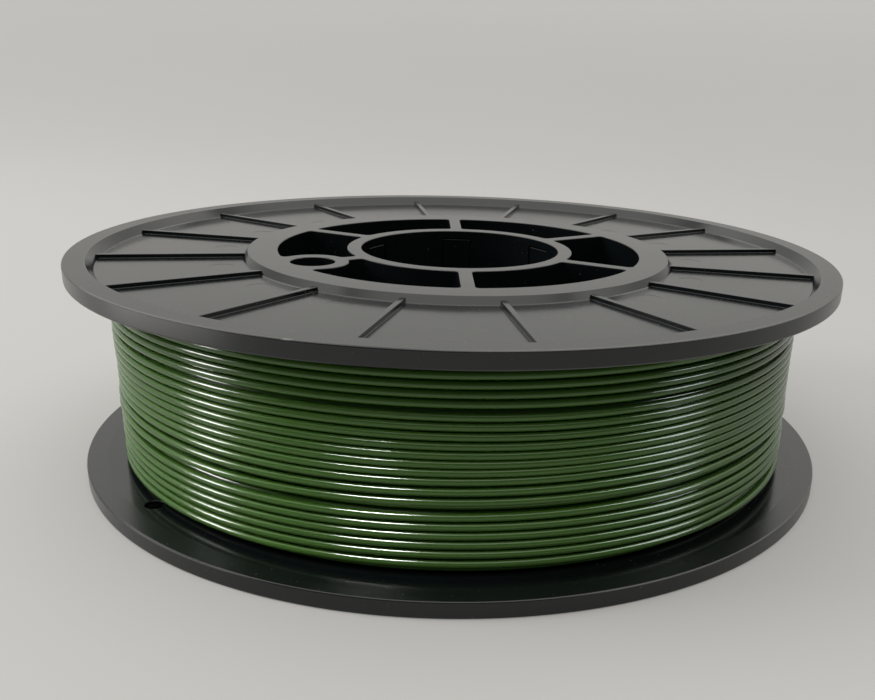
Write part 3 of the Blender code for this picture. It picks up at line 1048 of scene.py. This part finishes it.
def add_lamp(name, azimuth, elevation, distance, width, height, radiance, colour):
    """A soft rectangular lamp that faces the spool, unseen by the camera, given by its face's brightness."""
    lamp = bpy.data.lights.new(name, "AREA")
    lamp.shape = "RECTANGLE"
    lamp.size = width
    lamp.size_y = height
    lamp.energy = radiance * math.pi * width * height
    lamp.color = colour
    obj = bpy.data.objects.new(name, lamp)
    bpy.context.scene.collection.objects.link(obj)
    a, e = math.radians(azimuth), math.radians(elevation)
    target = Vector((0.0, 0.0, SPOOL_WIDTH / 2))
    away = Vector((math.cos(a) * math.cos(e), math.sin(a) * math.cos(e), math.sin(e)))
    facing = away.to_track_quat("Z", "Y").to_matrix().to_4x4()
    obj.matrix_world = Matrix.Translation(target + away * distance) @ facing
    obj.visible_camera = False
    return obj


def shine_only_on(lamp, pieces):
    """The lamp shows only in the reflections of these pieces."""
    lamp.visible_diffuse = False
    lamp.light_linking.receiver_collection = pieces


def make_sky():
    world = bpy.data.worlds.new("soft_room")
    bpy.context.scene.world = world
    world.use_nodes = True
    tree = world.node_tree
    background = tree.nodes["Background"]
    direction = node(tree, "ShaderNodeTexCoord").outputs["Generated"]
    up = node(tree, "ShaderNodeSeparateXYZ", {0: direction}).outputs["Z"]
    strength = spread(tree, up, SKY_STARTS, SKY_FULL, LOW_SKY_GLOW, SKY_GLOW)
    tree.links.new(strength, background.inputs["Strength"])
    background.inputs["Color"].default_value = SKY_COLOUR


def make_lights(flanges, filament):
    """The sky, a soft light from the left, and lamps that only make glints on the strand or the flanges."""
    make_sky()
    window = add_lamp(
        "left_window", azimuth=-172, elevation=20, distance=1.1, width=0.26, height=0.40,
        radiance=24.0, colour=(1.0, 0.99, 0.96),
    )
    ceiling = add_lamp(
        "ceiling_strip", azimuth=-132, elevation=61, distance=1.1, width=0.30, height=0.26,
        radiance=100.0, colour=(1.0, 1.0, 1.0),
    )
    side = add_lamp(
        "right_window", azimuth=-14, elevation=36, distance=1.1, width=0.30, height=0.85,
        radiance=8.0, colour=(0.88, 0.95, 1.0),
    )
    for lamp in (window, ceiling, side):
        shine_only_on(lamp, filament)
    sill = add_lamp(
        "left_sill", azimuth=-160, elevation=0, distance=0.26, width=0.17, height=0.05,
        radiance=2.2, colour=(1.0, 0.98, 0.94),
    )
    shine_only_on(sill, flanges)
    soft = add_lamp(
        "left_softbox", azimuth=178, elevation=27, distance=1.2, width=0.6, height=0.6,
        radiance=9.0, colour=(1.0, 0.99, 0.97),
    )
    soft.visible_glossy = False


CAMERA_DISTANCE = 265.6 * MM
CAMERA_HEIGHT = 104.5 * MM
CAMERA_YAW = math.radians(2.988)
CAMERA_PITCH = math.radians(20.954)
CAMERA_ROLL = math.radians(2.033)
CAMERA_LENS = 39.95
CAMERA_SHIFT = (-0.0765, 0.0880)


def make_camera():
    """The camera in front of the spool, looking down at it, turned a little aside and rolled a little."""
    data = bpy.data.cameras.new("camera")
    data.sensor_width = 36.0
    data.lens = CAMERA_LENS
    data.shift_x, data.shift_y = CAMERA_SHIFT
    data.clip_start = 0.01
    data.clip_end = 20.0
    camera = bpy.data.objects.new("camera", data)
    bpy.context.scene.collection.objects.link(camera)
    turn = Matrix.Rotation(-CAMERA_YAW, 4, "Z")
    tilt = Matrix.Rotation(math.radians(90) - CAMERA_PITCH, 4, "X")
    roll = Matrix.Rotation(CAMERA_ROLL, 4, "Z")
    camera.matrix_world = Matrix.Translation((0.0, -CAMERA_DISTANCE, CAMERA_HEIGHT)) @ turn @ tilt @ roll
    bpy.context.scene.camera = camera
    bpy.context.scene.view_settings.view_transform = "Standard"


make_camera()
make_stage()
plastic = black_plastic()
flanges = make_flanges(plastic)
make_hub_core(plastic)
filament = make_filament(green_filament())
make_lights(flanges, filament)
